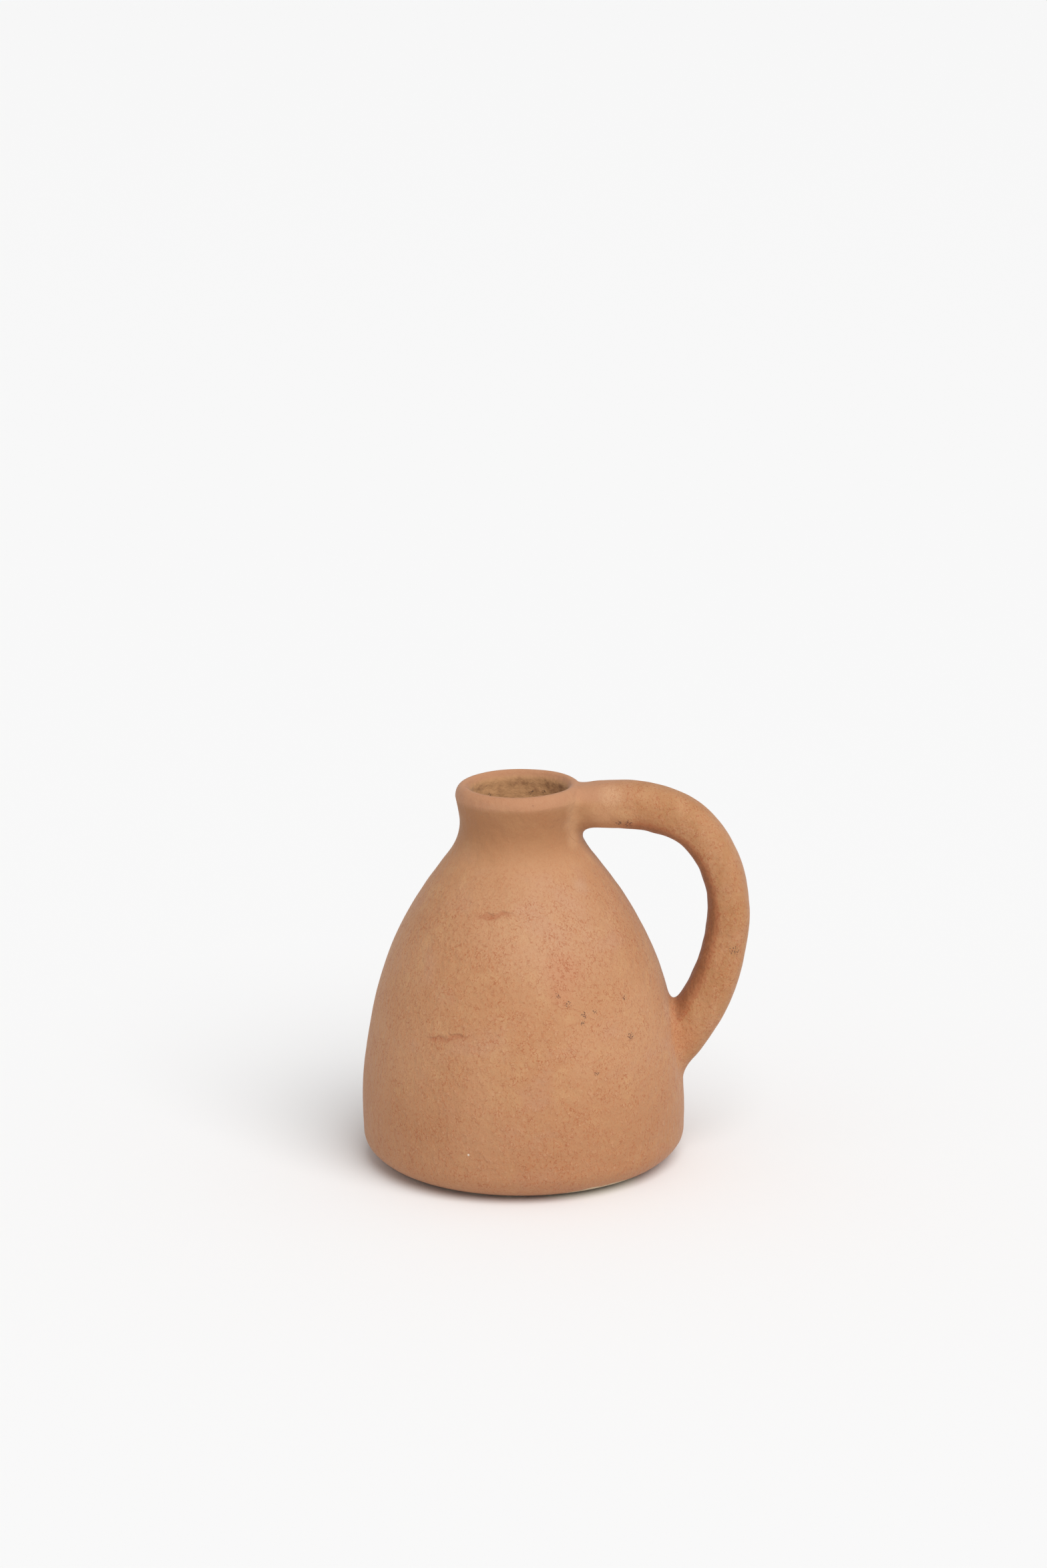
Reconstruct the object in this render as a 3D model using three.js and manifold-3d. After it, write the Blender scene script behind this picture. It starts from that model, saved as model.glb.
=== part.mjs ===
// A hand-built terracotta pitcher: an egg-shaped body with a short flared neck and a thick loop handle.
// It is one fired vessel, made from eight clay pieces that are joined with slip while they are still damp.
//
// Millimetres, +Z up. The origin is the centre of the flat foot, on the surface the pitcher stands on,
// and the handle is on the +X side.

import * as THREE from "three";
import { mergeVertices } from "three/addons/utils/BufferGeometryUtils.js";
import Module from "manifold-3d";

const wasm = await Module();
wasm.setup();

// ---- Driving dimensions ----

const RIM_TOP = 180; // top of the lip
const WALL = 6.5; // thickness of the clay wall
const SLIP_LINE = 0.3; // gap left between two neighbouring pieces

const FOOT_RADIUS = 55; // flat part of the foot
const FOOT_CORNER_HEIGHT = 14; // the rounded corner rises this far from the foot
const FLOOR = 9; // thickness of the floor slab
const SEAM_COIL = 8; // size of the coil in the corner of the floor and the wall

const WALL_TOP = 142; // where the neck collar is set on the body wall
const NECK_TOP = 169; // where the rim coil is set on the neck collar

const LIP_CENTRE_RADIUS = 25.9; // highest circle of the lip
const LIP_ROUND = 5.5; // the lip rounds off over this height
const MOUTH_RADIUS = 22.5;

const HANDLE_HALF_WIDTH = 11.4; // across the handle, along Y
const SECTION_POWER = 2.5; // a superellipse between an oval (2) and a rounded block
const FILLET_REACH = 6; // how far the clay fillets run along the handle
const FILLET_SWELL = 3.6; // how far they spread on the wall
const FILLET_EDGE = 0.8; // thickness of a fillet at its feathered edge

// Outer radius of the body, neck and lip at a few heights: [z, radius].
const OUTLINE = [
  [14, 75.4],
  [34, 75.4],
  [60, 72.3],
  [88, 65.7],
  [112, 56.0],
  [130, 45.4],
  [142, 36.8],
  [149, 31.7],
  [156, 28.5],
  [163, 27.6],
  [169, 28.4],
  [174, 29.5],
];

// Centreline of the handle in the XZ plane, from inside the neck to inside the body: [x, z].
const HANDLE_LINE = [
  [20, 169.3],
  [34, 170.1],
  [48, 170.3],
  [63, 168.2],
  [77.6, 161.9],
  [88.8, 149.4],
  [95.2, 133],
  [96.2, 112],
  [90, 86],
  [80, 66.5],
  [63, 47],
];

// Half thickness of the handle in its own plane, at shares of its length: [share, half thickness].
const HANDLE_THICKNESS = [
  [0, 10.3],
  [0.2, 10.8],
  [0.42, 9.6],
  [0.62, 9.8],
  [0.82, 11.2],
  [1, 12],
];

// ---- Curves ----

// A smooth curve through a table of [at, value] pairs: a cubic between each two, whose slope at a pair is the
// neighbouring slopes averaged by distance.
function smoothTable(table) {
  const last = table.length - 1;
  const gaps = table.slice(1).map(([at], i) => at - table[i][0]);
  const rises = table.slice(1).map(([, value], i) => (value - table[i][1]) / gaps[i]);
  const slopes = table.map((_, i) => {
    if (i === 0 || i === last) return 0;
    return (rises[i - 1] * gaps[i] + rises[i] * gaps[i - 1]) / (gaps[i - 1] + gaps[i]);
  });
  slopes[0] = 2 * rises[0] - slopes[1];
  slopes[last] = 2 * rises[last - 1] - slopes[last - 1];
  return (at) => {
    let i = 0;
    while (i < last - 1 && at > table[i + 1][0]) i++;
    const u = THREE.MathUtils.clamp((at - table[i][0]) / gaps[i], 0, 1);
    const keep = 2 * u ** 3 - 3 * u ** 2 + 1;
    const bend = gaps[i] * (slopes[i] * (u ** 3 - 2 * u ** 2 + u) + slopes[i + 1] * (u ** 3 - u ** 2));
    return keep * table[i][1] + (1 - keep) * table[i + 1][1] + bend;
  };
}

const outline = smoothTable(OUTLINE);
const LIP_OUTER_RADIUS = OUTLINE.at(-1)[1];
const CORNER_RADIUS = OUTLINE[0][1] - FOOT_RADIUS;

// Outer radius of the whole vessel at height z: the foot's rounded corner, the outline, then the lip.
function outerRadius(z) {
  if (z < FOOT_CORNER_HEIGHT) {
    const drop = 1 - Math.max(z, 0) / FOOT_CORNER_HEIGHT;
    return FOOT_RADIUS + CORNER_RADIUS * Math.sqrt(1 - drop * drop);
  }
  const lipStart = RIM_TOP - LIP_ROUND;
  if (z < lipStart) return outline(z);
  const rise = Math.min((z - lipStart) / LIP_ROUND, 1);
  return LIP_CENTRE_RADIUS + (LIP_OUTER_RADIUS - LIP_CENTRE_RADIUS) * Math.sqrt(1 - rise * rise);
}

// Points of the outside, from height `from` to height `to`.
function outside(from, to, steps) {
  return Array.from({ length: steps + 1 }, (_, i) => {
    const z = from + ((to - from) * i) / steps;
    return new THREE.Vector2(outerRadius(z), z);
  });
}

// Inner radius at height z: the wall's thickness is measured square to the sloping outside.
function innerRadius(z) {
  const step = 0.5;
  const slope = (outerRadius(z + step) - outerRadius(z - step)) / (2 * step);
  return outerRadius(z) - WALL * Math.hypot(1, slope);
}

// Points of the inside, from height `from` to height `to`.
function inside(from, to, steps) {
  return Array.from({ length: steps + 1 }, (_, i) => {
    const z = from + ((to - from) * i) / steps;
    return new THREE.Vector2(Math.min(innerRadius(z), innerRadius(FOOT_CORNER_HEIGHT)), z);
  });
}

// ---- Solids ----

const WHEEL_STEPS = 60; // steps round the vessel
const QUARTER_TURN = Math.PI / 2;

// A closed profile of (radius, height) points, turned round the Z axis.
function turned(profile) {
  const area = THREE.ShapeUtils.area(profile);
  const ordered = area > 0 ? [...profile] : [...profile].reverse();
  const onAxis = ordered.some((p) => p.x === 0);
  if (!onAxis) ordered.push(ordered[0].clone());
  return new THREE.LatheGeometry(ordered, WHEEL_STEPS).rotateX(QUARTER_TURN);
}

// A skin over a row of loops with the same number of points. It closes on itself, or it is capped at both
// ends by pairing the points of the first half of a loop with those of its second half.
function lofted(loops, closesOnItself) {
  const count = loops[0].length;
  const positions = loops.flat().flatMap((p) => [p.x, p.y, p.z]);
  const index = [];
  const rows = closesOnItself ? loops.length : loops.length - 1;
  for (let row = 0; row < rows; row++) {
    const here = row * count;
    const next = ((row + 1) % loops.length) * count;
    for (let i = 0; i < count; i++) {
      const j = (i + 1) % count;
      index.push(here + i, here + j, next + j, here + i, next + j, next + i);
    }
  }
  if (!closesOnItself) {
    const lastLoop = (loops.length - 1) * count;
    for (let i = 0; i < count / 2 - 1; i++) {
      const [a, b, c, d] = [i, i + 1, count - 2 - i, count - 1 - i];
      index.push(a, c, b, a, d, c);
      index.push(lastLoop + a, lastLoop + b, lastLoop + c, lastLoop + a, lastLoop + c, lastLoop + d);
    }
  }
  return new THREE.BufferGeometry()
    .setAttribute("position", new THREE.Float32BufferAttribute(positions, 3))
    .setIndex(index);
}

// A manifold-3d solid of a closed geometry, turned the right way out.
function solidOf(geometry) {
  const bare = geometry.clone();
  bare.deleteAttribute("normal");
  bare.deleteAttribute("uv");
  const merged = mergeVertices(bare, 1e-3);
  const triVerts = new Uint32Array(merged.index.array);
  const vertProperties = merged.attributes.position.array;
  const solid = new wasm.Manifold(new wasm.Mesh({ numProp: 3, vertProperties, triVerts }));
  if (solid.volume() > 0) return solid;
  for (let i = 0; i < triVerts.length; i += 3) {
    [triVerts[i + 1], triVerts[i + 2]] = [triVerts[i + 2], triVerts[i + 1]];
  }
  return new wasm.Manifold(new wasm.Mesh({ numProp: 3, vertProperties, triVerts }));
}

// The geometry of a manifold-3d solid's largest body.
function geometryOf(solid) {
  const largest = solid.decompose().reduce((a, b) => (b.volume() > a.volume() ? b : a));
  const mesh = largest.getMesh();
  return new THREE.BufferGeometry()
    .setAttribute("position", new THREE.Float32BufferAttribute(mesh.vertProperties, 3))
    .setIndex(new THREE.Uint32BufferAttribute(mesh.triVerts, 1));
}

// The vessel's outside as a filled solid, one slip line larger. It trims what is stuck on to the wall, and a
// column over the mouth keeps that clear of the opening.
function vesselEnvelope() {
  const steps = 60;
  const columnBase = RIM_TOP - 1;
  const columnTop = RIM_TOP + 20;
  const skin = outside(0, columnBase, steps).map((p) => new THREE.Vector2(p.x + SLIP_LINE, p.y));
  const columnSide = new THREE.Vector2(skin.at(-1).x, columnTop);
  return solidOf(turned([new THREE.Vector2(0, 0), ...skin, columnSide, new THREE.Vector2(0, columnTop)]));
}

// ---- Handle ----

const handleLine = new THREE.CatmullRomCurve3(
  HANDLE_LINE.map(([x, z]) => new THREE.Vector3(x, 0, z)),
  false,
  "centripetal",
);
const handleThickness = smoothTable(HANDLE_THICKNESS);
const HANDLE_STEPS = 46; // steps along the handle
const SECTION_STEPS = 20; // steps round its section

// A power of a cosine or sine that keeps its sign, which turns a circle into a superellipse.
function rounded(value) {
  return Math.sign(value) * Math.abs(value) ** (2 / SECTION_POWER);
}

// A point on the handle's skin: `share` of the way along, at `angle` round the section (0 on the outside of
// the loop, 180 degrees on its inside), and `grow` millimetres outside the skin.
function handlePoint(share, angle, grow) {
  const centre = handleLine.getPointAt(share);
  const along = handleLine.getTangentAt(share);
  const outward = new THREE.Vector3(-along.z, 0, along.x);
  const half = handleThickness(share) + grow;
  const halfWidth = HANDLE_HALF_WIDTH + grow;
  return centre
    .addScaledVector(outward, half * rounded(Math.cos(angle)))
    .add(new THREE.Vector3(0, halfWidth * rounded(Math.sin(angle)), 0));
}

// Where a lengthwise line on the handle's skin goes into the vessel's outside, searched from the middle of
// the handle towards one end.
function shareAtWall(angle, end) {
  const halvings = 24;
  let clear = 0.5;
  let buried = end;
  for (let i = 0; i < halvings; i++) {
    const middle = (clear + buried) / 2;
    const p = handlePoint(middle, angle, 0);
    const inVessel = p.z < RIM_TOP && Math.hypot(p.x, p.y) < outerRadius(p.z);
    if (inVessel) buried = middle;
    else clear = middle;
  }
  return clear;
}

function handle(envelope) {
  const loops = Array.from({ length: HANDLE_STEPS + 1 }, (_, row) =>
    Array.from({ length: SECTION_STEPS }, (_, i) =>
      handlePoint(row / HANDLE_STEPS, ((i + 0.5) / SECTION_STEPS) * 2 * Math.PI, 0),
    ),
  );
  return geometryOf(solidOf(lofted(loops, false)).subtract(envelope));
}

const FILLET_COLUMNS = 28; // steps round the handle
const FILLET_ROWS = [-0.5, 0, 0.25, 0.5, 0.75, 1]; // shares of its reach, from inside the wall outwards
const UPPER_FILLET_ANGLES = [Math.PI * 0.38, Math.PI * 1.62]; // the lip leaves no room for it on top
const LOWER_FILLET_ANGLES = [0, Math.PI * 2];

// The clay worked into the corner between the handle and the wall, as a skirt round the end of the handle
// that swells towards the wall. It covers the angles from `first` to `last` round the section, and where it
// doesn't go all the way round, it fades towards both.
function fillet(envelope, end, [first, last]) {
  const goesAllRound = last - first === 2 * Math.PI;
  const towardsMiddle = end === 0 ? 1 : -1;
  const reach = (FILLET_REACH / handleLine.getLength()) * towardsMiddle;
  const loopCount = goesAllRound ? FILLET_COLUMNS : FILLET_COLUMNS + 1;
  const loops = Array.from({ length: loopCount }, (_, column) => {
    const share = column / FILLET_COLUMNS;
    const angle = first + (last - first) * share;
    const fade = goesAllRound ? 1 : Math.sqrt(Math.max(Math.sin(Math.PI * share), 0));
    const start = shareAtWall(angle, end);
    const outer = FILLET_ROWS.map((row) => {
      const swell = FILLET_EDGE + FILLET_SWELL * fade * (1 - Math.max(row, 0)) ** 2;
      return handlePoint(start + reach * row, angle, SLIP_LINE + swell);
    });
    const inner = FILLET_ROWS.map((row) => handlePoint(start + reach * row, angle, SLIP_LINE));
    return [...outer, ...inner.reverse()];
  });
  return geometryOf(solidOf(lofted(loops, goesAllRound)).subtract(envelope));
}

// ---- Turned pieces ----

function floorSlab() {
  return turned([new THREE.Vector2(0, 0), ...outside(0, FLOOR, 6), new THREE.Vector2(0, FLOOR)]);
}

// The wall starts one slip line above the slab and ends at the neck.
function bodyWall() {
  const bottom = FLOOR + SLIP_LINE;
  const coilTop = bottom + SEAM_COIL;
  const inner = [...inside(bottom, coilTop, 2), ...inside(coilTop, WALL_TOP, 10).slice(1)];
  return turned([...outside(bottom, WALL_TOP, 14), ...inner.reverse()]);
}

// A thin coil pressed into the corner between the floor and the wall, hollowed by the finger that smooths it.
function floorSeamCoil() {
  const bottom = FLOOR + SLIP_LINE;
  const top = bottom + SEAM_COIL;
  const wallSide = inside(bottom, top, 2).map((p) => new THREE.Vector2(p.x - SLIP_LINE, p.y));
  const edge = 1.2; // left at both sides of the hollow
  const hollowCentre = new THREE.Vector2(wallSide[0].x - SEAM_COIL, top);
  const hollowWidth = wallSide.at(-1).x - edge - hollowCentre.x;
  const hollowDepth = SEAM_COIL - edge;
  const steps = 4;
  const hollow = Array.from({ length: steps + 1 }, (_, i) => {
    const angle = (i / steps) * QUARTER_TURN;
    const x = hollowCentre.x + hollowWidth * Math.cos(angle);
    return new THREE.Vector2(x, hollowCentre.y - hollowDepth * Math.sin(angle));
  });
  return turned([...wallSide, ...hollow, new THREE.Vector2(hollowCentre.x, bottom)]);
}

function neckCollar() {
  const bottom = WALL_TOP + SLIP_LINE;
  return turned([...outside(bottom, NECK_TOP, 8), ...inside(bottom, NECK_TOP, 6).reverse()]);
}

// The lip is a coil rounded over with the fingers: a quarter oval outside and another inside.
function rimCoil() {
  const bottom = NECK_TOP + SLIP_LINE;
  const roundStart = RIM_TOP - LIP_ROUND;
  const steps = 5;
  const quarterOval = (radius) =>
    Array.from({ length: steps + 1 }, (_, i) => {
      const angle = (i / steps) * QUARTER_TURN;
      const x = LIP_CENTRE_RADIUS + (radius - LIP_CENTRE_RADIUS) * Math.cos(angle);
      return new THREE.Vector2(x, roundStart + LIP_ROUND * Math.sin(angle));
    });
  return turned([
    ...outside(bottom, roundStart, 2).slice(0, -1),
    ...quarterOval(LIP_OUTER_RADIUS),
    ...quarterOval(MOUTH_RADIUS).reverse().slice(1),
    new THREE.Vector2(innerRadius(bottom), bottom),
  ]);
}

// ---- Assembly ----

function clay(colour, roughness) {
  return new THREE.MeshStandardMaterial({ color: colour, roughness, metalness: 0 });
}

function piece(name, geometry, material) {
  const mesh = new THREE.Mesh(geometry, material);
  mesh.name = name;
  return mesh;
}

const washedTerracotta = clay(0xc79468, 0.85);
const bareClay = clay(0xd8c8a8, 0.95);
const envelope = vesselEnvelope();
const pitcher = new THREE.Group();
pitcher.add(
  piece("floor_slab", floorSlab(), washedTerracotta),
  piece("floor_seam_coil", floorSeamCoil(), bareClay),
  piece("body_wall", bodyWall(), washedTerracotta),
  piece("neck_collar", neckCollar(), washedTerracotta),
  piece("rim_coil", rimCoil(), washedTerracotta),
  piece("handle", handle(envelope), washedTerracotta),
  piece("upper_handle_fillet", fillet(envelope, 0, UPPER_FILLET_ANGLES), washedTerracotta),
  piece("lower_handle_fillet", fillet(envelope, 1, LOWER_FILLET_ANGLES), washedTerracotta),
);

export default pitcher;
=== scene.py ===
"""A hand-built terracotta pitcher, made piece by piece in the order a potter joins it.

Sizes are in millimetres, heights are above the table, and the handle is on the +X side.
"""
import math

import bmesh
import bpy
import numpy as np
from mathutils import Matrix


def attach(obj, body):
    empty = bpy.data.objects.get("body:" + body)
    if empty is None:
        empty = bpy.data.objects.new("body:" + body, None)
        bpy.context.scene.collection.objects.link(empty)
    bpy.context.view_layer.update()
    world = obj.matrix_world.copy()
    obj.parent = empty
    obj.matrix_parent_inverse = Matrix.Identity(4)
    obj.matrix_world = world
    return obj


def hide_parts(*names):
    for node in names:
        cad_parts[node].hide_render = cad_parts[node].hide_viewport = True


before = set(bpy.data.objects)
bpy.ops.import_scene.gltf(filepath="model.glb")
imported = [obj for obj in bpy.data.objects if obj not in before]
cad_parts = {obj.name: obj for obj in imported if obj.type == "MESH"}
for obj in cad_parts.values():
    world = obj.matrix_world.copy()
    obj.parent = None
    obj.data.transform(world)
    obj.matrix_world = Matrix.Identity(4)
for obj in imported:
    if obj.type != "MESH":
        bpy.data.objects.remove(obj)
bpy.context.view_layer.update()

MM = 0.001  # Blender's unit is the metre

# ---- The studio ----
# The pitcher stands on a plain white table in a white room, lit by one wide soft light from the upper
# right. The camera is a long way off and looks down on the mouth a little, with the handle turned three
# degrees towards it.

CAMERA_BEARING = math.radians(3.0)
CAMERA_BACK = 1806.0
CAMERA_HEIGHT = 647.0
CAMERA_SIDE_STEP = 1.8
CAMERA_LOOKS_DOWN = math.radians(14.511)
CAMERA_ROLL = math.radians(-0.588)
CAMERA_LENS = 92.68  # on a sensor 36 mm long
TABLE_SIZE = 80000

camera = bpy.data.objects.new("camera", bpy.data.cameras.new("camera"))
camera.data.sensor_width = 36
camera.data.lens = CAMERA_LENS
stand = Matrix.Translation((CAMERA_SIDE_STEP * MM, -CAMERA_BACK * MM, CAMERA_HEIGHT * MM))
tilt = Matrix.Rotation(math.pi / 2 - CAMERA_LOOKS_DOWN, 4, "X") @ Matrix.Rotation(CAMERA_ROLL, 4, "Z")
camera.matrix_world = Matrix.Rotation(CAMERA_BEARING, 4, "Z") @ stand @ tilt
bpy.context.scene.collection.objects.link(camera)
bpy.context.scene.camera = camera
bpy.context.scene.view_settings.view_transform = "Standard"

ROOM_STRENGTH = 0.5
LIGHT_STRENGTH = 2.1
LIGHT_SPREAD = math.radians(50)
LIGHT_HEIGHT = math.radians(52)  # above the horizon
LIGHT_BEARING = math.radians(32)  # from the front towards the handle

soft_light = bpy.data.objects.new("soft_light", bpy.data.lights.new("soft_light", "SUN"))
soft_light.data.energy = LIGHT_STRENGTH
soft_light.data.angle = LIGHT_SPREAD
soft_light.rotation_euler = (math.pi / 2 - LIGHT_HEIGHT, 0, LIGHT_BEARING)
bpy.context.scene.collection.objects.link(soft_light)

room = bpy.data.worlds.new("white_room")
room.use_nodes = True
room.node_tree.nodes["Background"].inputs["Color"].default_value = (1, 1, 1, 1)
room.node_tree.nodes["Background"].inputs["Strength"].default_value = ROOM_STRENGTH
bpy.context.scene.world = room

table_mesh = bpy.data.meshes.new("table")
half_table = TABLE_SIZE / 2 * MM
table_corners = [(-half_table, -half_table, 0), (half_table, -half_table, 0), (half_table, half_table, 0)]
table_mesh.from_pydata([*table_corners, (-half_table, half_table, 0)], [], [(0, 1, 2, 3)])
table = bpy.data.objects.new("table", table_mesh)
table_paint = bpy.data.materials.new("table_paint")
table_paint.use_nodes = True
table_paint.node_tree.nodes["Principled BSDF"].inputs["Base Color"].default_value = (0.93, 0.93, 0.93, 1)
table_paint.node_tree.nodes["Principled BSDF"].inputs["Roughness"].default_value = 0.9
table_mesh.materials.append(table_paint)
bpy.context.scene.collection.objects.link(table)

# ---- The floor slab ----
# A round slab of clay, 9 mm thick, that the wall is built up on. Its underside is wiped flat and left bare,
# and its edge is rolled up into the rounded foot.

FOOT_RADIUS = 55
FOOT_CORNER_HEIGHT = 14
FLOOR = 9.15
SLAB_RING = 40.0  # a ring of points part way across the top of the slab
RIM_TOP = 180
WALL = 6.5
LIP_DROP = 5.5  # the lip rounds off over this height, outside and inside
LIP_CENTRE_RADIUS = 25.9
LEAN = -0.0043  # sideways drift of the axis for each millimetre of height above the middle
ROUND_STEPS = 320  # steps round the vessel
SHARP_ANGLE = math.radians(50)  # a steeper turn between faces is shaded as an edge

# Outer radius at a few heights: (height, radius).
OUTLINE = np.array(
    [
        (14, 75.4),
        (34, 75.4),
        (60, 72.3),
        (88, 65.7),
        (112, 56.0),
        (130, 45.4),
        (142, 36.8),
        (149, 31.7),
        (156, 28.5),
        (163, 27.6),
        (169, 28.4),
        (174.5, 29.5),
    ]
)


def axis_drift(height):
    """How far the vessel's axis has drifted along X at a height: it leans a little about its middle."""
    return LEAN * (height - RIM_TOP / 2)


def smooth_curve(pairs, at):
    """Values of a smooth curve through (position, value) pairs, at an array of positions.

    Between two pairs it is the cubic that has their values and slopes, and the slope at a pair is the mean
    of the chords on either side, weighted by the opposite chord's length.
    """
    place, value = pairs[:, 0], pairs[:, 1]
    gap = np.diff(place)
    rise = np.diff(value) / gap
    slope = np.empty(len(place))
    slope[1:-1] = (rise[:-1] * gap[1:] + rise[1:] * gap[:-1]) / (gap[:-1] + gap[1:])
    slope[0] = 2 * rise[0] - slope[1]
    slope[-1] = 2 * rise[-1] - slope[-2]
    at = np.clip(at, place[0], place[-1])
    i = np.clip(np.searchsorted(place, at) - 1, 0, len(gap) - 1)
    u = (at - place[i]) / gap[i]
    keep = 2 * u**3 - 3 * u**2 + 1
    bend = gap[i] * (slope[i] * (u**3 - 2 * u**2 + u) + slope[i + 1] * (u**3 - u**2))
    return keep * value[i] + (1 - keep) * value[i + 1] + bend


def outer_radius(height):
    """Outer radius of the vessel: an oval quarter for the foot, the outline, an oval quarter for the lip."""
    height = np.asarray(height, float)
    drop = 1 - np.clip(height, 0, FOOT_CORNER_HEIGHT) / FOOT_CORNER_HEIGHT
    foot = FOOT_RADIUS + (OUTLINE[0, 1] - FOOT_RADIUS) * np.sqrt(1 - drop**2)
    climb = np.clip((height - RIM_TOP + LIP_DROP) / LIP_DROP, 0, 1)
    lip = LIP_CENTRE_RADIUS + (OUTLINE[-1, 1] - LIP_CENTRE_RADIUS) * np.sqrt(1 - climb**2)
    body = smooth_curve(OUTLINE, height)
    return np.where(height < FOOT_CORNER_HEIGHT, foot, np.where(climb > 0, lip, body))


def inner_radius(height):
    """Inner radius of the wall: its thickness is measured square to the sloping outside."""
    slope = outer_radius(height + 0.5) - outer_radius(height - 0.5)
    return outer_radius(height) - WALL * np.hypot(1, slope)


def swell(points, length, seed, waves=28):
    """An even random swell of about -1 to 1: a sum of seeded sine waves, each about `length` long."""
    draw = np.random.default_rng(seed)
    direction = draw.normal(size=(waves, 3))
    direction /= np.linalg.norm(direction, axis=1, keepdims=True)
    pace = 2 * math.pi / (length * draw.uniform(0.7, 1.5, (waves, 1)))
    start = draw.uniform(0, 2 * math.pi, waves)
    return np.sin(points @ (direction * pace).T + start).sum(axis=-1) / math.sqrt(2 * waves)


def ramp(value, low, high):
    """0 below `low`, 1 above `high`, and the smooth cubic between them."""
    share = np.clip((value - low) / (high - low), 0, 1)
    return share * share * (3 - 2 * share)


def turned(profile):
    """Grid of points (round, along, xyz): (radius, height) pairs carried round the leaning axis.

    The outside swells by about a tenth of a millimetre, as a smoothed wall does. The inside, past the
    middle of the wall, is smooth as far down as a finger reaches under the lip, then rough: lumps and pits,
    and the upright drag marks of the fingers.
    """
    angle = np.arange(ROUND_STEPS) * (2 * math.pi / ROUND_STEPS)
    radius, height = np.asarray(profile, float).T
    x, y = radius * np.cos(angle)[:, None], radius * np.sin(angle)[:, None]
    grid = np.stack(np.broadcast_arrays(x, y, height), -1)
    depth = outer_radius(height) - radius
    inside = ramp(depth, 0.45 * WALL, 0.9 * WALL) * ramp(RIM_TOP - height, 1, 4) * ramp(height, 9.5, 12)
    rough = inside * ramp(RIM_TOP - height, 8, 17)
    outside = ramp(2 - depth, 0, 1) * ramp(height, 1, 6)
    smooth = 0.13 * swell(grid, 34, 1) + 0.05 * swell(grid, 9, 2)
    lumps = 0.45 * swell(grid, 9, 3) + 0.22 * swell(grid, 3.6, 4)
    drags = 0.2 * swell(grid * (1, 1, 0.12), 3.2, 5)
    shift = outside * smooth + inside * drags * 0.5 + rough * lumps
    lift = 0.35 * swell(grid * (1, 1, 0), 38, 6) * ramp(height, 160, 178)
    grid[..., 0] += shift * np.cos(angle)[:, None] + axis_drift(height)
    grid[..., 1] += shift * np.sin(angle)[:, None]
    grid[..., 2] += lift
    return grid, np.broadcast_to(inside, shift.shape)


def clay_piece(name, grid, along_closes=True, **marks):
    """A fired-clay piece over a grid of points, one face for each cell, with its seams and poles merged.

    Its finish reads three marks: `inside` is 1 on the rough inside of the vessel, `held` is 1 on the
    handle, and `finger_side` is 1 on the side of the handle that faces the fingers.
    """
    rows, columns = grid.shape[:2]
    index = np.arange(rows * columns).reshape(rows, columns)
    index = np.concatenate([index, index[:1]], axis=0)
    if along_closes:
        index = np.concatenate([index, index[:, :1]], axis=1)
    corners = (index[:-1, :-1], index[1:, :-1], index[1:, 1:], index[:-1, 1:])
    faces = np.stack(corners, axis=-1).reshape(-1, 4)
    mesh = bpy.data.meshes.new(name)
    mesh.from_pydata(grid.reshape(-1, 3) * MM, [], faces)
    for mark in ("inside", "held", "finger_side"):
        values = np.broadcast_to(marks.get(mark, 0.0), (rows, columns)).reshape(-1).astype(np.float32)
        mesh.attributes.new(mark, "FLOAT", "POINT").data.foreach_set("value", values)
    edit = bmesh.new()
    edit.from_mesh(mesh)
    bmesh.ops.remove_doubles(edit, verts=edit.verts, dist=1e-7)
    bmesh.ops.recalc_face_normals(edit, faces=edit.faces)
    edit.to_mesh(mesh)
    edit.free()
    mesh.polygons.foreach_set("use_smooth", np.ones(len(mesh.polygons), bool))
    mesh.set_sharp_from_angle(angle=SHARP_ANGLE)
    piece = bpy.data.objects.new(name, mesh)
    bpy.context.scene.collection.objects.link(piece)
    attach(piece, "root")
    return piece


def heights(low, high, steps):
    """Evenly spaced heights from low to high."""
    return np.linspace(low, high, steps + 1)


def outside_line(low, high, steps):
    """(radius, height) pairs up the outside."""
    height = heights(low, high, steps)
    return np.stack([outer_radius(height), height], -1)


def inside_line(low, high, steps):
    """(radius, height) pairs up the inside, which widens no further below the top of the foot's corner."""
    height = heights(low, high, steps)
    return np.stack([np.minimum(inner_radius(height), inner_radius(FOOT_CORNER_HEIGHT)), height], -1)


class Wire:
    """One value in a finish. Sums, products and comparisons of wires are written as Python expressions."""

    def __init__(self, finish, socket):
        self.finish, self.socket = finish, socket

    def maths(self, operation, *values):
        return self.finish.node("ShaderNodeMath", {"operation": operation}, values)

    def __add__(self, other):
        return self.maths("ADD", self, other)

    def __sub__(self, other):
        return self.maths("SUBTRACT", self, other)

    def __rsub__(self, other):
        return self.maths("SUBTRACT", other, self)

    def __mul__(self, other):
        return self.maths("MULTIPLY", self, other)

    def __abs__(self):
        return self.maths("ABSOLUTE", self)

    def larger(self, other):
        return self.maths("MAXIMUM", self, other)

    __radd__ = __add__
    __rmul__ = __mul__


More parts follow.
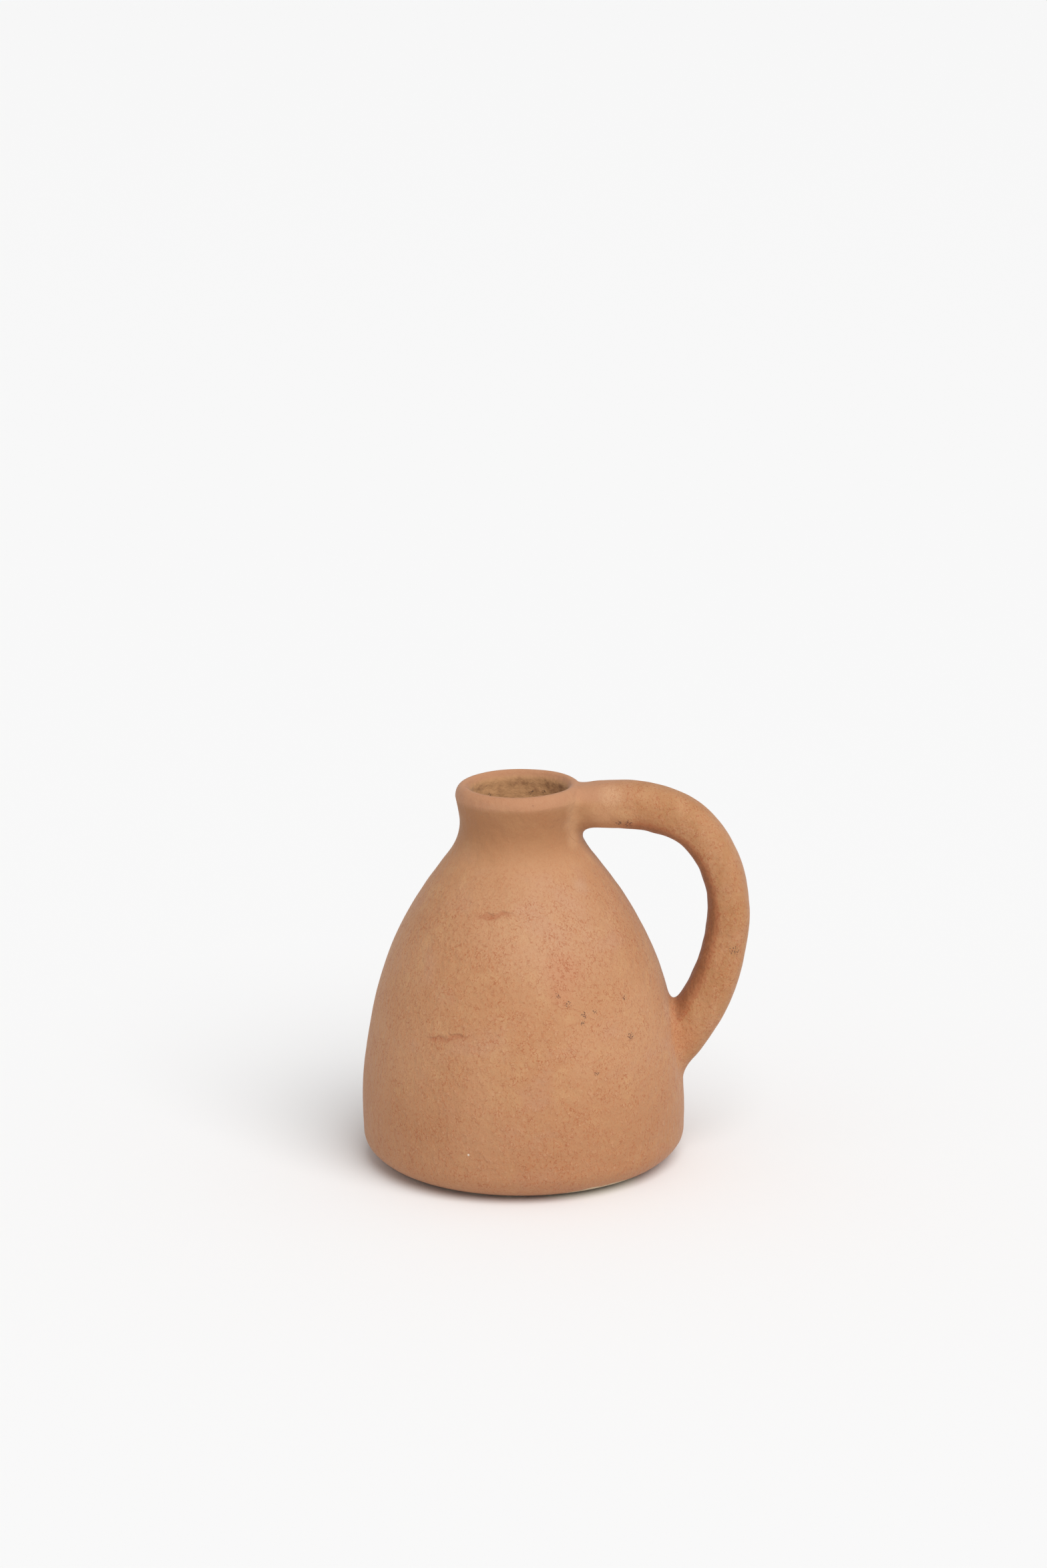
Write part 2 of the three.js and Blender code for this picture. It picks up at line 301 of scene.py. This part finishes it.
class Finish:
    """The surface of one kind of clay: a material, its shader, and the ways of adding nodes to it."""

    def __init__(self, name):
        self.material = bpy.data.materials.new(name)
        self.material.use_nodes = True
        self.nodes = self.material.node_tree.nodes
        self.shader = self.nodes["Principled BSDF"]
        self.place = self.node("ShaderNodeTexCoord", take="Object")

    def plug(self, socket, value):
        """Links a wire to a socket, or sets the socket to a plain value."""
        if isinstance(value, Wire):
            self.material.node_tree.links.new(value.socket, socket)
        elif value is not None:
            socket.default_value = value

    def node(self, kind, settings=None, values=(), take=0):
        """Adds a node: its settings first, then its sockets' values or wires, by order or by name."""
        made = self.nodes.new(kind)
        for name, setting in (settings or {}).items():
            setattr(made, name, setting)
        named = values.items() if isinstance(values, dict) else enumerate(values)
        for name, value in named:
            self.plug(made.inputs[name], value)
        return Wire(self, made.outputs[take])

    def grain(self, size, detail=2.0, stretch=(1, 1, 1), place=None, take=0):
        """Soft noise from 0 to 1 whose blots are about `size` millimetres, stretched along some axes."""
        scaled = self.node("ShaderNodeVectorMath", {"operation": "MULTIPLY"}, [place or self.place, stretch])
        values = {"Vector": scaled, "Scale": 1 / (size * MM), "Detail": detail}
        return self.node("ShaderNodeTexNoise", {"noise_dimensions": "3D"}, values, take)

    def step(self, value, low, high):
        """0 where the value is at `low`, 1 where it is at `high`, smooth between."""
        values = {"Value": value, "From Min": low, "From Max": high}
        return self.node("ShaderNodeMapRange", {"interpolation_type": "SMOOTHSTEP"}, values)

    def near(self, point, radius, core=0.2):
        """1 within a `core` share of `radius` round a point in millimetres, fading to 0 at `radius`."""
        centre = tuple(value * MM for value in point)
        gap = self.node("ShaderNodeVectorMath", {"operation": "DISTANCE"}, [self.place, centre], take="Value")
        return self.step(gap, radius * MM, core * radius * MM)

    def largest(self, masks):
        """The largest of several masks at each point."""
        together = masks[0]
        for mask in masks[1:]:
            together = together.larger(mask)
        return together

    def any_near(self, spots):
        """The largest of several `near` masks, one for each (point, radius)."""
        return self.largest([self.near(point, radius) for point, radius in spots])

    def blend(self, share, under, over):
        """The colour `under` with a share of the colour `over` on it."""
        return self.node("ShaderNodeMix", {"data_type": "RGBA"}, {0: share, 6: under, 7: over}, take=2)


def clay_colour(red, green, blue):
    """A colour mixed on the 0 to 255 scale of a paint chart, as the shader's linear light."""
    chart = np.array([red, green, blue]) / 255
    return (*np.where(chart < 0.04045, chart / 12.92, ((chart + 0.055) / 1.055) ** 2.4), 1.0)


def bare_clay():
    """Unwashed fired clay: pale buff, with sandy grains and finger-wide tone changes."""
    finish = Finish("bare_clay")
    tone = finish.grain(18, detail=4)
    sand = finish.grain(0.7, detail=3)
    pale, dark = clay_colour(205, 180, 142), clay_colour(188, 152, 112)
    colour = finish.blend(finish.step(tone, 0.35, 0.65), pale, dark)
    colour = finish.blend(finish.step(sand, 0.6, 0.72) * 0.6, colour, clay_colour(140, 104, 72))
    height = sand + finish.grain(3, detail=3) * 1.5
    finish.plug(finish.shader.inputs["Base Color"], colour)
    finish.plug(finish.shader.inputs["Roughness"], 0.86 + tone * 0.1)
    bump = {"Strength": 0.5, "Distance": 0.35 * MM, "Height": height}
    finish.plug(finish.shader.inputs["Normal"], finish.node("ShaderNodeBump", values=bump))
    finish.shader.inputs["Specular IOR Level"].default_value = 0.25
    return finish.material


BARE_CLAY = bare_clay()
slab_top = [(SLAB_RING, FLOOR), (0.0, FLOOR)]
slab_line = np.concatenate([[(0.0, 0.0)], outside_line(0, FLOOR, 28), slab_top])
slab_grid, _ = turned(slab_line)
slab_grid[:, 0, :2] = 0
slab_grid[:, -1, :2] = 0
floor_slab = clay_piece("fired_floor_slab", slab_grid, along_closes=False)
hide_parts("floor_slab")

# ---- The floor seam coil ----
# A thin coil of clay pressed into the inside corner where the wall meets the floor. A finger drawn round it
# leaves it hollow and a little uneven.

SEAM_COIL = 8


def seam_coil_line():
    """Closed profile: up the wall, a quarter oval hollow down to the floor, back along the floor."""
    wall_side = inside_line(FLOOR - 1, FLOOR + SEAM_COIL, 8) + (1, 0)
    angle = np.linspace(0, math.pi / 2, 22)
    corner = wall_side[-1, 0] - 1 - SEAM_COIL
    hollow_radius = corner + (SEAM_COIL - 0.3) * np.cos(angle)
    hollow = np.stack([hollow_radius, FLOOR + SEAM_COIL * (1 - np.sin(angle))], -1)
    return np.concatenate([wall_side, hollow, [(corner, FLOOR - 1)]])


coil_grid, coil_inside = turned(seam_coil_line())
seam_coil = clay_piece("fired_seam_coil", coil_grid, inside=coil_inside)
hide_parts("floor_seam_coil")

# ---- The body wall ----
# The wall is built up in coils and scraped to an even egg shape. An iron wash brushed over the damp clay
# fires to a light tan with short reddish veins, a few clusters of black specks and a rubbed red patch
# beside them.

WALL_TOP = 142.15


def on_wall(height, bearing):
    """The point on the outside at a height, at a bearing in degrees from the front towards the handle."""
    radius = float(outer_radius(height))
    turn = math.radians(bearing)
    return (radius * math.sin(turn) + axis_drift(height), -radius * math.cos(turn), height)


# Black specks on the wall and handle, then pits in the lip and inside the neck, painted black as their
# shade: (centre, radius).
SPECKS = [
    (on_wall(96, 18), 2.2),
    (on_wall(92, 22), 2.4),
    (on_wall(86.5, 28), 2.4),
    (on_wall(87, 33), 2.0),
    (on_wall(83, 27), 1.8),
    (on_wall(90, 49), 2.2),
    (on_wall(73, 48), 3.2),
    (on_wall(60.3, 30.6), 2.0),
    (on_wall(176, 16), 1.1),
    ((46, -10, 163.6), 2.6),
    ((50.6, -10, 163.2), 3.6),
    ((99, -9, 103), 4.5),
    ((-24.4, -6.5, 180), 1.5),
    ((4.6, 22, 170), 2.4),
    ((4.6, 22.4, 173.6), 1.6),
    ((10.5, 19.8, 171), 2.0),
    ((-14.8, 16.6, 169.5), 2.4),
]

# Where the surface was rubbed, and the wash shows redder: (centre, radius).
RUBBED = [(on_wall(106, 22), 13), (on_wall(97, 20), 9)]

# Horizontal creases on the left: the (height, bearing) of both ends.
CREASES = [((75, -36), (78.5, -17)), ((128, -23), (129.7, -1))]

# Soft patches of another tone, painted light and painted shade among them: (centre, radius, share, colour).
PATCHES = [
    ((24.9, -14.5, 173), 7, 0.35, (214, 168, 126)),  # clay worked down at the upper joint
    ((24.4, -14.0, 165), 7, 0.35, (214, 168, 126)),
    ((26.0, -13.5, 157), 7, 0.35, (214, 168, 126)),
    ((42.5, -10, 177), 8, 0.4, (218, 176, 136)),  # a scuff on top of the handle
    ((58, -9, 161), 13, 0.3, (158, 100, 66)),  # painted shade under the top of the handle, on browner clay
    ((69.7, -14, 75), 8, 0.4, (208, 168, 134)),  # a paler smear above the lower joint
    ((75, -12, 60), 12, 0.35, (192, 124, 82)),  # redder where the handle ends
    (on_wall(138, 47), 6, 0.3, (196, 160, 134)),  # a dusty smear on the shoulder
    (on_wall(122, 22), 44, 0.35, (200, 157, 124)),  # painted light: paler, dusty grey where the upper right shoulder faces the lamp
    (on_wall(24.1, -16.5), 0.7, 0.9, (238, 228, 212)),  # a pinhead chip
]


def washed_terracotta():
    """The iron wash over the body, neck, lip and handle."""
    finish = Finish("washed_terracotta")
    inside = finish.node("ShaderNodeAttribute", {"attribute_name": "inside"}, take="Fac")
    held = finish.node("ShaderNodeAttribute", {"attribute_name": "held"}, take="Fac")
    finger_side = finish.node("ShaderNodeAttribute", {"attribute_name": "finger_side"}, take="Fac")
    across = finish.node("ShaderNodeSeparateXYZ", values=[finish.place], take=0)
    height = finish.node("ShaderNodeSeparateXYZ", values=[finish.place], take=2)

    # Broad tone changes: buff, orange and pinkish clouds, painted shade that darkens the lower body towards
    # the foot and the neck under the lip, a pinker lip and a browner, blotched handle.
    clouds = finish.grain(46, detail=3)
    blush = finish.grain(24, detail=3, stretch=(1, 1, 1.3))
    buff = finish.grain(11, detail=4)
    pale, warm = clay_colour(192, 142, 103), clay_colour(187, 136, 96)
    colour = finish.blend(finish.step(clouds, 0.38, 0.62), pale, warm)
    colour = finish.blend(finish.step(blush, 0.52, 0.72) * 0.45, colour, clay_colour(188, 140, 111))
    colour = finish.blend(finish.step(buff, 0.5, 0.72) * 0.45, colour, clay_colour(199, 154, 110))
    # Painted shade: the lower body is painted darker and browner towards the foot, where less light reaches.
    low = 1 - finish.step(height, 12 * MM, 75 * MM)
    colour = finish.blend(low * 0.35, colour, clay_colour(164, 112, 76))
    # Painted shade: the neck below the overhanging lip is painted darker and browner.
    on_neck = finish.near((0, 0, 160), 42, core=0.7)
    below_lip = 1 - finish.step(height, 172 * MM, 176 * MM)
    painted_neck_shade = finish.step(height, 144 * MM, 163 * MM) * below_lip * on_neck
    colour = finish.blend(painted_neck_shade * 0.6, colour, clay_colour(152, 102, 64))
    lip = finish.step(height, 172.5 * MM, 176 * MM) * (1 - finish.step(across, 40 * MM, 62 * MM))
    colour = finish.blend(lip * 0.5, colour, clay_colour(184, 132, 102))
    blotched = finish.step(finish.grain(7, detail=4, stretch=(1, 1, 0.5)), 0.42, 0.62)
    colour = finish.blend(held * (0.2 + blotched * 0.3), colour, clay_colour(172, 122, 76))
    for centre, radius, share, tone in PATCHES:
        colour = finish.blend(finish.near(centre, radius) * share, colour, clay_colour(*tone))

    # Short reddish veins: a crackle of bent cells, broken up by noise, over finer level lines of another
    # noise. Smoothing with a wet hand has rubbed most of them off the neck and the lip.
    bend = finish.grain(2.0, detail=3, take=1)
    push = [bend, (4.8 * MM,) * 3, finish.place]
    pushed = finish.node("ShaderNodeVectorMath", {"operation": "MULTIPLY_ADD"}, push)
    upright = finish.node("ShaderNodeVectorMath", {"operation": "MULTIPLY"}, [pushed, (1, 1, 0.5)])
    edge_values = {"Vector": upright, "Scale": 1 / (2.1 * MM)}
    crackle = finish.node("ShaderNodeTexVoronoi", {"feature": "DISTANCE_TO_EDGE"}, edge_values)
    gaps = finish.grain(1.5, detail=2, stretch=(1, 1, 0.7))
    crowd = finish.step(finish.grain(13, detail=3), 0.3, 0.7)
    rubbed = finish.any_near(RUBBED)
    wander = finish.grain(9, detail=4)
    creases = []
    for start, end in CREASES:
        left, right = on_wall(*start), on_wall(*end)
        slope = (right[2] - left[2]) / (right[0] - left[0])
        line = across * slope + (left[2] - left[0] * slope) * MM
        middle = on_wall((start[0] + end[0]) / 2, (start[1] + end[1]) / 2)
        window = finish.near(middle, 0.6 * math.dist(left, right), core=0.5)
        crease = 1 - finish.step(abs(height - line + (wander - 0.5) * (8 * MM)), 0.3 * MM, 1.6 * MM)
        creases.append(crease * window)
    creased = finish.largest(creases)
    rubbed = rubbed.larger(creased)
    rich = 1 - finish.step(height, 130 * MM, 154 * MM) * (1 - held) * 0.75
    broken = finish.step(gaps + crowd * 0.05 + rubbed * 0.03, 0.5, 0.6)
    veins = (1 - finish.step(crackle, 0.01, 0.1)) * broken * (0.44 + crowd * 0.18 + rubbed * 0.1)
    level = finish.grain(1.5, detail=2.5, stretch=(1, 1, 0.6), place=pushed)
    threads = (1 - finish.step(abs(level - 0.5), 0.005, 0.035)) * (0.2 + crowd * 0.2)
    fine = finish.step(finish.grain(0.9, detail=2, stretch=(1, 1, 0.6)), 0.5, 0.75) * (0.28 + crowd * 0.24)
    colour = finish.blend(fine * rich, colour, clay_colour(180, 112, 70))
    colour = finish.blend(threads * rich, colour, clay_colour(172, 94, 56))
    colour = finish.blend(rubbed * 0.28, colour, clay_colour(188, 120, 88))
    # Painted shade: the creases are painted darker, as well as sunk in the bump.
    colour = finish.blend(creased * 0.35, colour, clay_colour(158, 92, 58))
    colour = finish.blend(veins * rich, colour, clay_colour(156, 80, 42))

    # Pale flecks are painted on the raised grains all over: painted highlights on the relief. The handle's
    # finger side, turned to the wall, is grimed and painted with shade from the wall, with a ragged red edge.
    leather = finish.grain(1.5, detail=2, stretch=(1, 1, 0.7))
    # Painted highlights: pale flecks where the leather grain stands up.
    colour = finish.blend(finish.step(leather, 0.54, 0.76) * rich * 0.24, colour, clay_colour(212, 168, 132))
    ragged_side = finger_side + (leather - 0.5) * 0.9
    colour = finish.blend(finish.step(ragged_side, 0.15, 0.5) * held * 0.4, colour, clay_colour(164, 88, 54))
    # Painted shade with grime: the finger side, turned to the wall, is painted dark brown.
    colour = finish.blend(finish.step(ragged_side, 0.5, 1.1) * 0.5, colour, clay_colour(132, 90, 60))

    # The rough inside is darker and browner, with dirt in its hollows, and painted shade makes it darker
    # further down below the lip.
    stain = finish.grain(5, detail=5)
    # Painted shade: the inside is painted darker further down below the lip.
    depth_shade = 1 - finish.step(height, 160 * MM, 172 * MM)
    dusty, dirt_and_shade = clay_colour(196, 150, 106), clay_colour(146, 104, 72)
    cave = finish.blend(finish.step(stain + depth_shade * 0.16, 0.5, 0.8), dusty, dirt_and_shade)
    colour = finish.blend(inside * 0.85, colour, cave)

    # Black specks, and painted shade in the pits, in a few clusters only.
    dots = finish.grain(0.6, detail=1)
    clusters = finish.any_near(SPECKS)
    specks = finish.step(dots + clusters * 0.18, 0.68, 0.74) * finish.step(clusters, 0, 0.4)
    colour = finish.blend(specks * 0.75, colour, clay_colour(74, 56, 50))

    # The wash stops a little above the table, where the foot was wiped.
    wiped_high = finish.near(on_wall(0, 35), 27, core=0.6)
    edge = (wander - 0.5) * (4 * MM) + wiped_high * (4 * MM) + 0.4 * MM
    wiped = 1 - finish.step(height - edge, 0, 0.5 * MM)
    colour = finish.blend(wiped * 0.85, colour, clay_colour(208, 192, 160))

    sand = finish.grain(0.6, detail=2)
    dents = finish.grain(4.5, detail=2)
    relief = sand * 0.3 + leather * rich * 1.1 + dents * 1.8 + inside * stain * 2.5 - creased
    bump = {"Strength": 0.65, "Distance": 0.55 * MM, "Height": relief}
    finish.plug(finish.shader.inputs["Base Color"], colour)
    finish.plug(finish.shader.inputs["Roughness"], 0.72 + clouds * 0.12 + inside * 0.12)
    finish.plug(finish.shader.inputs["Normal"], finish.node("ShaderNodeBump", values=bump))
    finish.shader.inputs["Specular IOR Level"].default_value = 0.3
    finish.shader.inputs["Sheen Weight"].default_value = 0.12
    finish.shader.inputs["Sheen Roughness"].default_value = 0.4
    return finish.material


WASHED_TERRACOTTA = washed_terracotta()
wall_line = np.concatenate([outside_line(FLOOR, WALL_TOP, 150), inside_line(FLOOR, WALL_TOP, 70)[::-1]])
wall_grid, wall_inside = turned(wall_line)
body_wall = clay_piece("fired_body_wall", wall_grid, inside=wall_inside)
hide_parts("body_wall")

# ---- The neck collar ----
# A short flared strip set on the shoulder and drawn in to a waist. The fingers smooth it outside, but its
# inside can't be reached well, and stays lumpy.

NECK_TOP = 169.15
neck_line = np.concatenate([outside_line(WALL_TOP, NECK_TOP, 56), inside_line(WALL_TOP, NECK_TOP, 56)[::-1]])
neck_grid, neck_inside = turned(neck_line)
neck_collar = clay_piece("fired_neck_collar", neck_grid, inside=neck_inside)
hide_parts("neck_collar")

# ---- The rim coil ----
# The lip is one soft coil, rounded over with a wet finger, so it is smoother and a little paler than the
# wall.

MOUTH_RADIUS = 22.5


def lip_quarter(side_radius, steps):
    """(radius, height) pairs of a quarter oval, from the lip's side up to its highest circle."""
    angle = np.linspace(0, math.pi / 2, steps)
    radius = LIP_CENTRE_RADIUS + (side_radius - LIP_CENTRE_RADIUS) * np.cos(angle)
    return np.stack([radius, RIM_TOP - LIP_DROP + LIP_DROP * np.sin(angle)], -1)


throat_height = heights(NECK_TOP, RIM_TOP - LIP_DROP, 12)[:-1]
throat_share = ramp(throat_height, NECK_TOP, RIM_TOP - LIP_DROP)
throat_radius = inner_radius(NECK_TOP) * (1 - throat_share) + MOUTH_RADIUS * throat_share
rim_line = np.concatenate(
    [
        outside_line(NECK_TOP, RIM_TOP - LIP_DROP, 12)[:-1],
        lip_quarter(OUTLINE[-1, 1], 24),
        lip_quarter(MOUTH_RADIUS, 24)[::-1][1:],
        np.stack([throat_radius, throat_height], -1)[::-1],
    ]
)
rim_grid, rim_inside = turned(rim_line)
rim_coil = clay_piece("fired_rim_coil", rim_grid, inside=rim_inside)
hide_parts("rim_coil")

# ---- The handle ----
# A thick pulled strap of clay, a rounded block in section, that leaves the neck level with the lip, bends
# over in one wide curve, and runs down and inwards to the belly.

HANDLE_HALF_WIDTH = 11.4
LIP_SETTLE = 1.1  # how far its top sinks where it runs into the lip
HALVINGS = 26  # halvings that find where the handle meets the vessel
SECTION_POWER = 2.5  # a superellipse between an oval (2) and a rounded block

# Centreline, from inside the neck to inside the body: (x, height).
HANDLE_LINE = np.array(
    [
        (20, 169.3),
        (34, 170.1),
        (48, 170.3),
        (63, 168.2),
        (77.6, 161.9),
        (88.8, 149.4),
        (95.2, 133),
        (96.2, 112),
        (90, 86),
        (80, 66.5),
        (63, 47),
    ]
)

# Half thickness in the handle's own plane: (share of its length, half thickness).
HANDLE_THICKNESS = np.array([(0, 10.3), (0.2, 10.8), (0.42, 9.6), (0.62, 9.8), (0.82, 11.2), (1, 12)])

line_steps = np.hypot(*np.diff(HANDLE_LINE, axis=0).T)
line_shares = np.concatenate([[0], np.cumsum(line_steps)]) / line_steps.sum()
HANDLE_LENGTH = line_steps.sum()


def handle_centre(share):
    """Points of the centreline at shares of its length: smooth curves of x and of height."""
    x = smooth_curve(np.stack([line_shares, HANDLE_LINE[:, 0]], -1), share)
    z = smooth_curve(np.stack([line_shares, HANDLE_LINE[:, 1]], -1), share)
    return np.stack([x, np.zeros_like(x), z], -1)


def handle_skin(share, angle):
    """Points and outward directions of the handle's skin, at shares of its length and angles round it.

    A point is the centre, plus the half thickness times a rounded cosine outwards from the loop, plus the
    half width times a rounded sine along Y, plus a soft swell of a quarter millimetre square to the skin.
    The top settles by a millimetre where it runs into the lip.
    """
    share, angle = np.broadcast_arrays(share, angle)
    along = handle_centre(share + 1e-3) - handle_centre(share - 1e-3)
    along /= np.linalg.norm(along, axis=-1, keepdims=True)
    outwards = np.stack([-along[..., 2], np.zeros_like(share), along[..., 0]], -1)
    sideways = np.array([0.0, 1.0, 0.0])
    cosine, sine = np.cos(angle), np.sin(angle)
    across = np.sign(cosine) * np.abs(cosine) ** (2 / SECTION_POWER)
    beside = np.sign(sine) * np.abs(sine) ** (2 / SECTION_POWER)
    half = smooth_curve(HANDLE_THICKNESS, share)
    points = handle_centre(share) + (half * across)[..., None] * outwards
    points = points + (HANDLE_HALF_WIDTH * beside)[..., None] * sideways
    lean_power = SECTION_POWER - 1
    lean_across = np.sign(across) * np.abs(across) ** lean_power / half
    lean_beside = np.sign(beside) * np.abs(beside) ** lean_power / HANDLE_HALF_WIDTH
    normal = lean_across[..., None] * outwards + lean_beside[..., None] * sideways
    normal /= np.linalg.norm(normal, axis=-1, keepdims=True)
    uneven = 0.28 * swell(points, 22, 7) + (0.1 - 0.04 * cosine) * swell(points, 7, 8)
    reach = np.hypot(points[..., 0], points[..., 1])
    settled = LIP_SETTLE * (1 - ramp(reach, 27, 38)) * np.clip(across, 0, 1)
    points[..., 2] -= settled
    return points + uneven[..., None] * normal, normal


def share_at_wall(angle, end):
    """For each angle round the section, where the skin goes into the vessel, by halving the gap."""
    clear = np.full_like(angle, 0.5)
    buried = np.full_like(angle, float(end))
    for _ in range(HALVINGS):
        middle = (clear + buried) / 2
        point, _ = handle_skin(middle, angle)
        reach = np.hypot(point[..., 0] - axis_drift(point[..., 2]), point[..., 1])
        sunk = (reach < outer_radius(point[..., 2])) & (point[..., 2] < RIM_TOP)
        buried = np.where(sunk, middle, buried)
        clear = np.where(sunk, clear, middle)
    return clear


def faces_fingers(angle):
    """1 on the side of the handle that faces the fingers, 0 on its front, back and outer faces."""
    return ramp(-np.cos(angle), 0.15, 0.8)


HANDLE_STEPS = 420  # steps along the handle
SECTION_STEPS = 120  # steps round its section
BURIED = 2.2 / HANDLE_LENGTH  # share of the handle that goes on into the wall, at each end
section_angle = np.arange(SECTION_STEPS) * (2 * math.pi / SECTION_STEPS)
upper_share = share_at_wall(section_angle, 0)
lower_share = share_at_wall(section_angle, 1)
travel = np.linspace(0, 1, HANDLE_STEPS)[None, :]
handle_share = (upper_share[:, None] - BURIED) * (1 - travel) + (lower_share[:, None] + BURIED) * travel
handle_grid, _ = handle_skin(handle_share, section_angle[:, None])
caps = [np.broadcast_to(handle_grid[:, end].mean(axis=0), (SECTION_STEPS, 1, 3)) for end in (0, -1)]
handle_grid = np.concatenate([caps[0], handle_grid, caps[1]], axis=1)
handle_held = np.pad(ramp(handle_share, 0.08, 0.2), ((0, 0), (1, 1)), mode="edge")
handle_marks = {"held": handle_held, "finger_side": faces_fingers(section_angle)[:, None] * handle_held}
handle = clay_piece("fired_handle", handle_grid, along_closes=False, **handle_marks)
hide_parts("handle")

# ---- The handle's fillets ----
# Soft clay is worked into the corner where each end of the handle meets the vessel, and drawn out both ways
# with the thumb, until handle and wall run into each other.

FILLET_STEPS = 18
FILLET_ROUND_STEPS = 240
FILLET_SINK = 1.6  # how far its hidden back goes into the clay


def wall_point(x, y, z):
    """The nearest point of the vessel's outside at the same height and bearing, and its direction."""
    z = np.minimum(z, RIM_TOP - 0.05)
    bearing = np.arctan2(y, x - axis_drift(z))
    radius = outer_radius(z)
    slope = (outer_radius(z + 0.05) - outer_radius(z - 0.05)) / 0.1
    normal = np.stack([np.cos(bearing), np.sin(bearing), -slope], -1)
    normal /= np.linalg.norm(normal, axis=-1, keepdims=True)
    return np.stack([radius * np.cos(bearing) + axis_drift(z), radius * np.sin(bearing), z], -1), normal


def fillet_grid(angle, end, reach_along, reach_out):
    """Grid of points (round, across, xyz) of the clay in the corner at one end of the handle.

    Across the corner it is a parabola that leaves the handle's skin along the handle and arrives on the
    wall along the wall: its middle control point is the corner itself. It goes back inside the clay to
    close on itself.
    """
    towards_middle = 1 if end == 0 else -1
    corner_share = share_at_wall(angle, end)
    corner, skin_normal = handle_skin(corner_share, angle)
    start, start_normal = handle_skin(corner_share + towards_middle * reach_along / HANDLE_LENGTH, angle)
    _, wall_normal = wall_point(*np.moveaxis(corner, -1, 0))
    out = skin_normal - (skin_normal * wall_normal).sum(-1, keepdims=True) * wall_normal
    out /= np.linalg.norm(out, axis=-1, keepdims=True)
    landing, landing_normal = wall_point(*np.moveaxis(corner + reach_out[:, None] * out, -1, 0))
    share = np.linspace(0, 1, FILLET_STEPS)[None, :, None]
    start, corner, landing = start[:, None], corner[:, None], landing[:, None]
    across = (1 - share) ** 2 * start + 2 * share * (1 - share) * corner + share**2 * landing
    back = [
        landing - FILLET_SINK * landing_normal[:, None],
        corner - FILLET_SINK * (wall_normal + skin_normal)[:, None],
        start - FILLET_SINK * start_normal[:, None],
    ]
    return np.concatenate([across, *back], axis=1)


fillet_angle = np.linspace(0, 2 * math.pi, FILLET_ROUND_STEPS + 1)[:-1]
towards_hole = (1 - np.cos(fillet_angle)) / 2  # 1 on the finger side of the handle, 0 on its back
beside = np.abs(np.sin(fillet_angle))
upper_along = 5 - 0.5 * beside + 3 * towards_hole
upper_out = 3.2 + 0.4 * beside + 3.4 * towards_hole
upper_fillet = clay_piece("fired_upper_fillet", fillet_grid(fillet_angle, 0, upper_along, upper_out))
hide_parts("upper_handle_fillet")

lower_along = 7 + 2 * towards_hole
lower_out = 6 + 3 * towards_hole - 1.5 * beside
lower_grid = fillet_grid(fillet_angle, 1, lower_along, lower_out)
fillet_held = ramp(np.arange(lower_grid.shape[1]), FILLET_STEPS, 0)
lower_marks = {"held": fillet_held, "finger_side": faces_fingers(fillet_angle)[:, None] * fillet_held}
lower_fillet = clay_piece("fired_lower_fillet", lower_grid, **lower_marks)
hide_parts("lower_handle_fillet")

seam_coil.data.materials.append(BARE_CLAY)
for piece in (floor_slab, body_wall, neck_collar, rim_coil, handle, upper_fillet, lower_fillet):
    piece.data.materials.append(WASHED_TERRACOTTA)
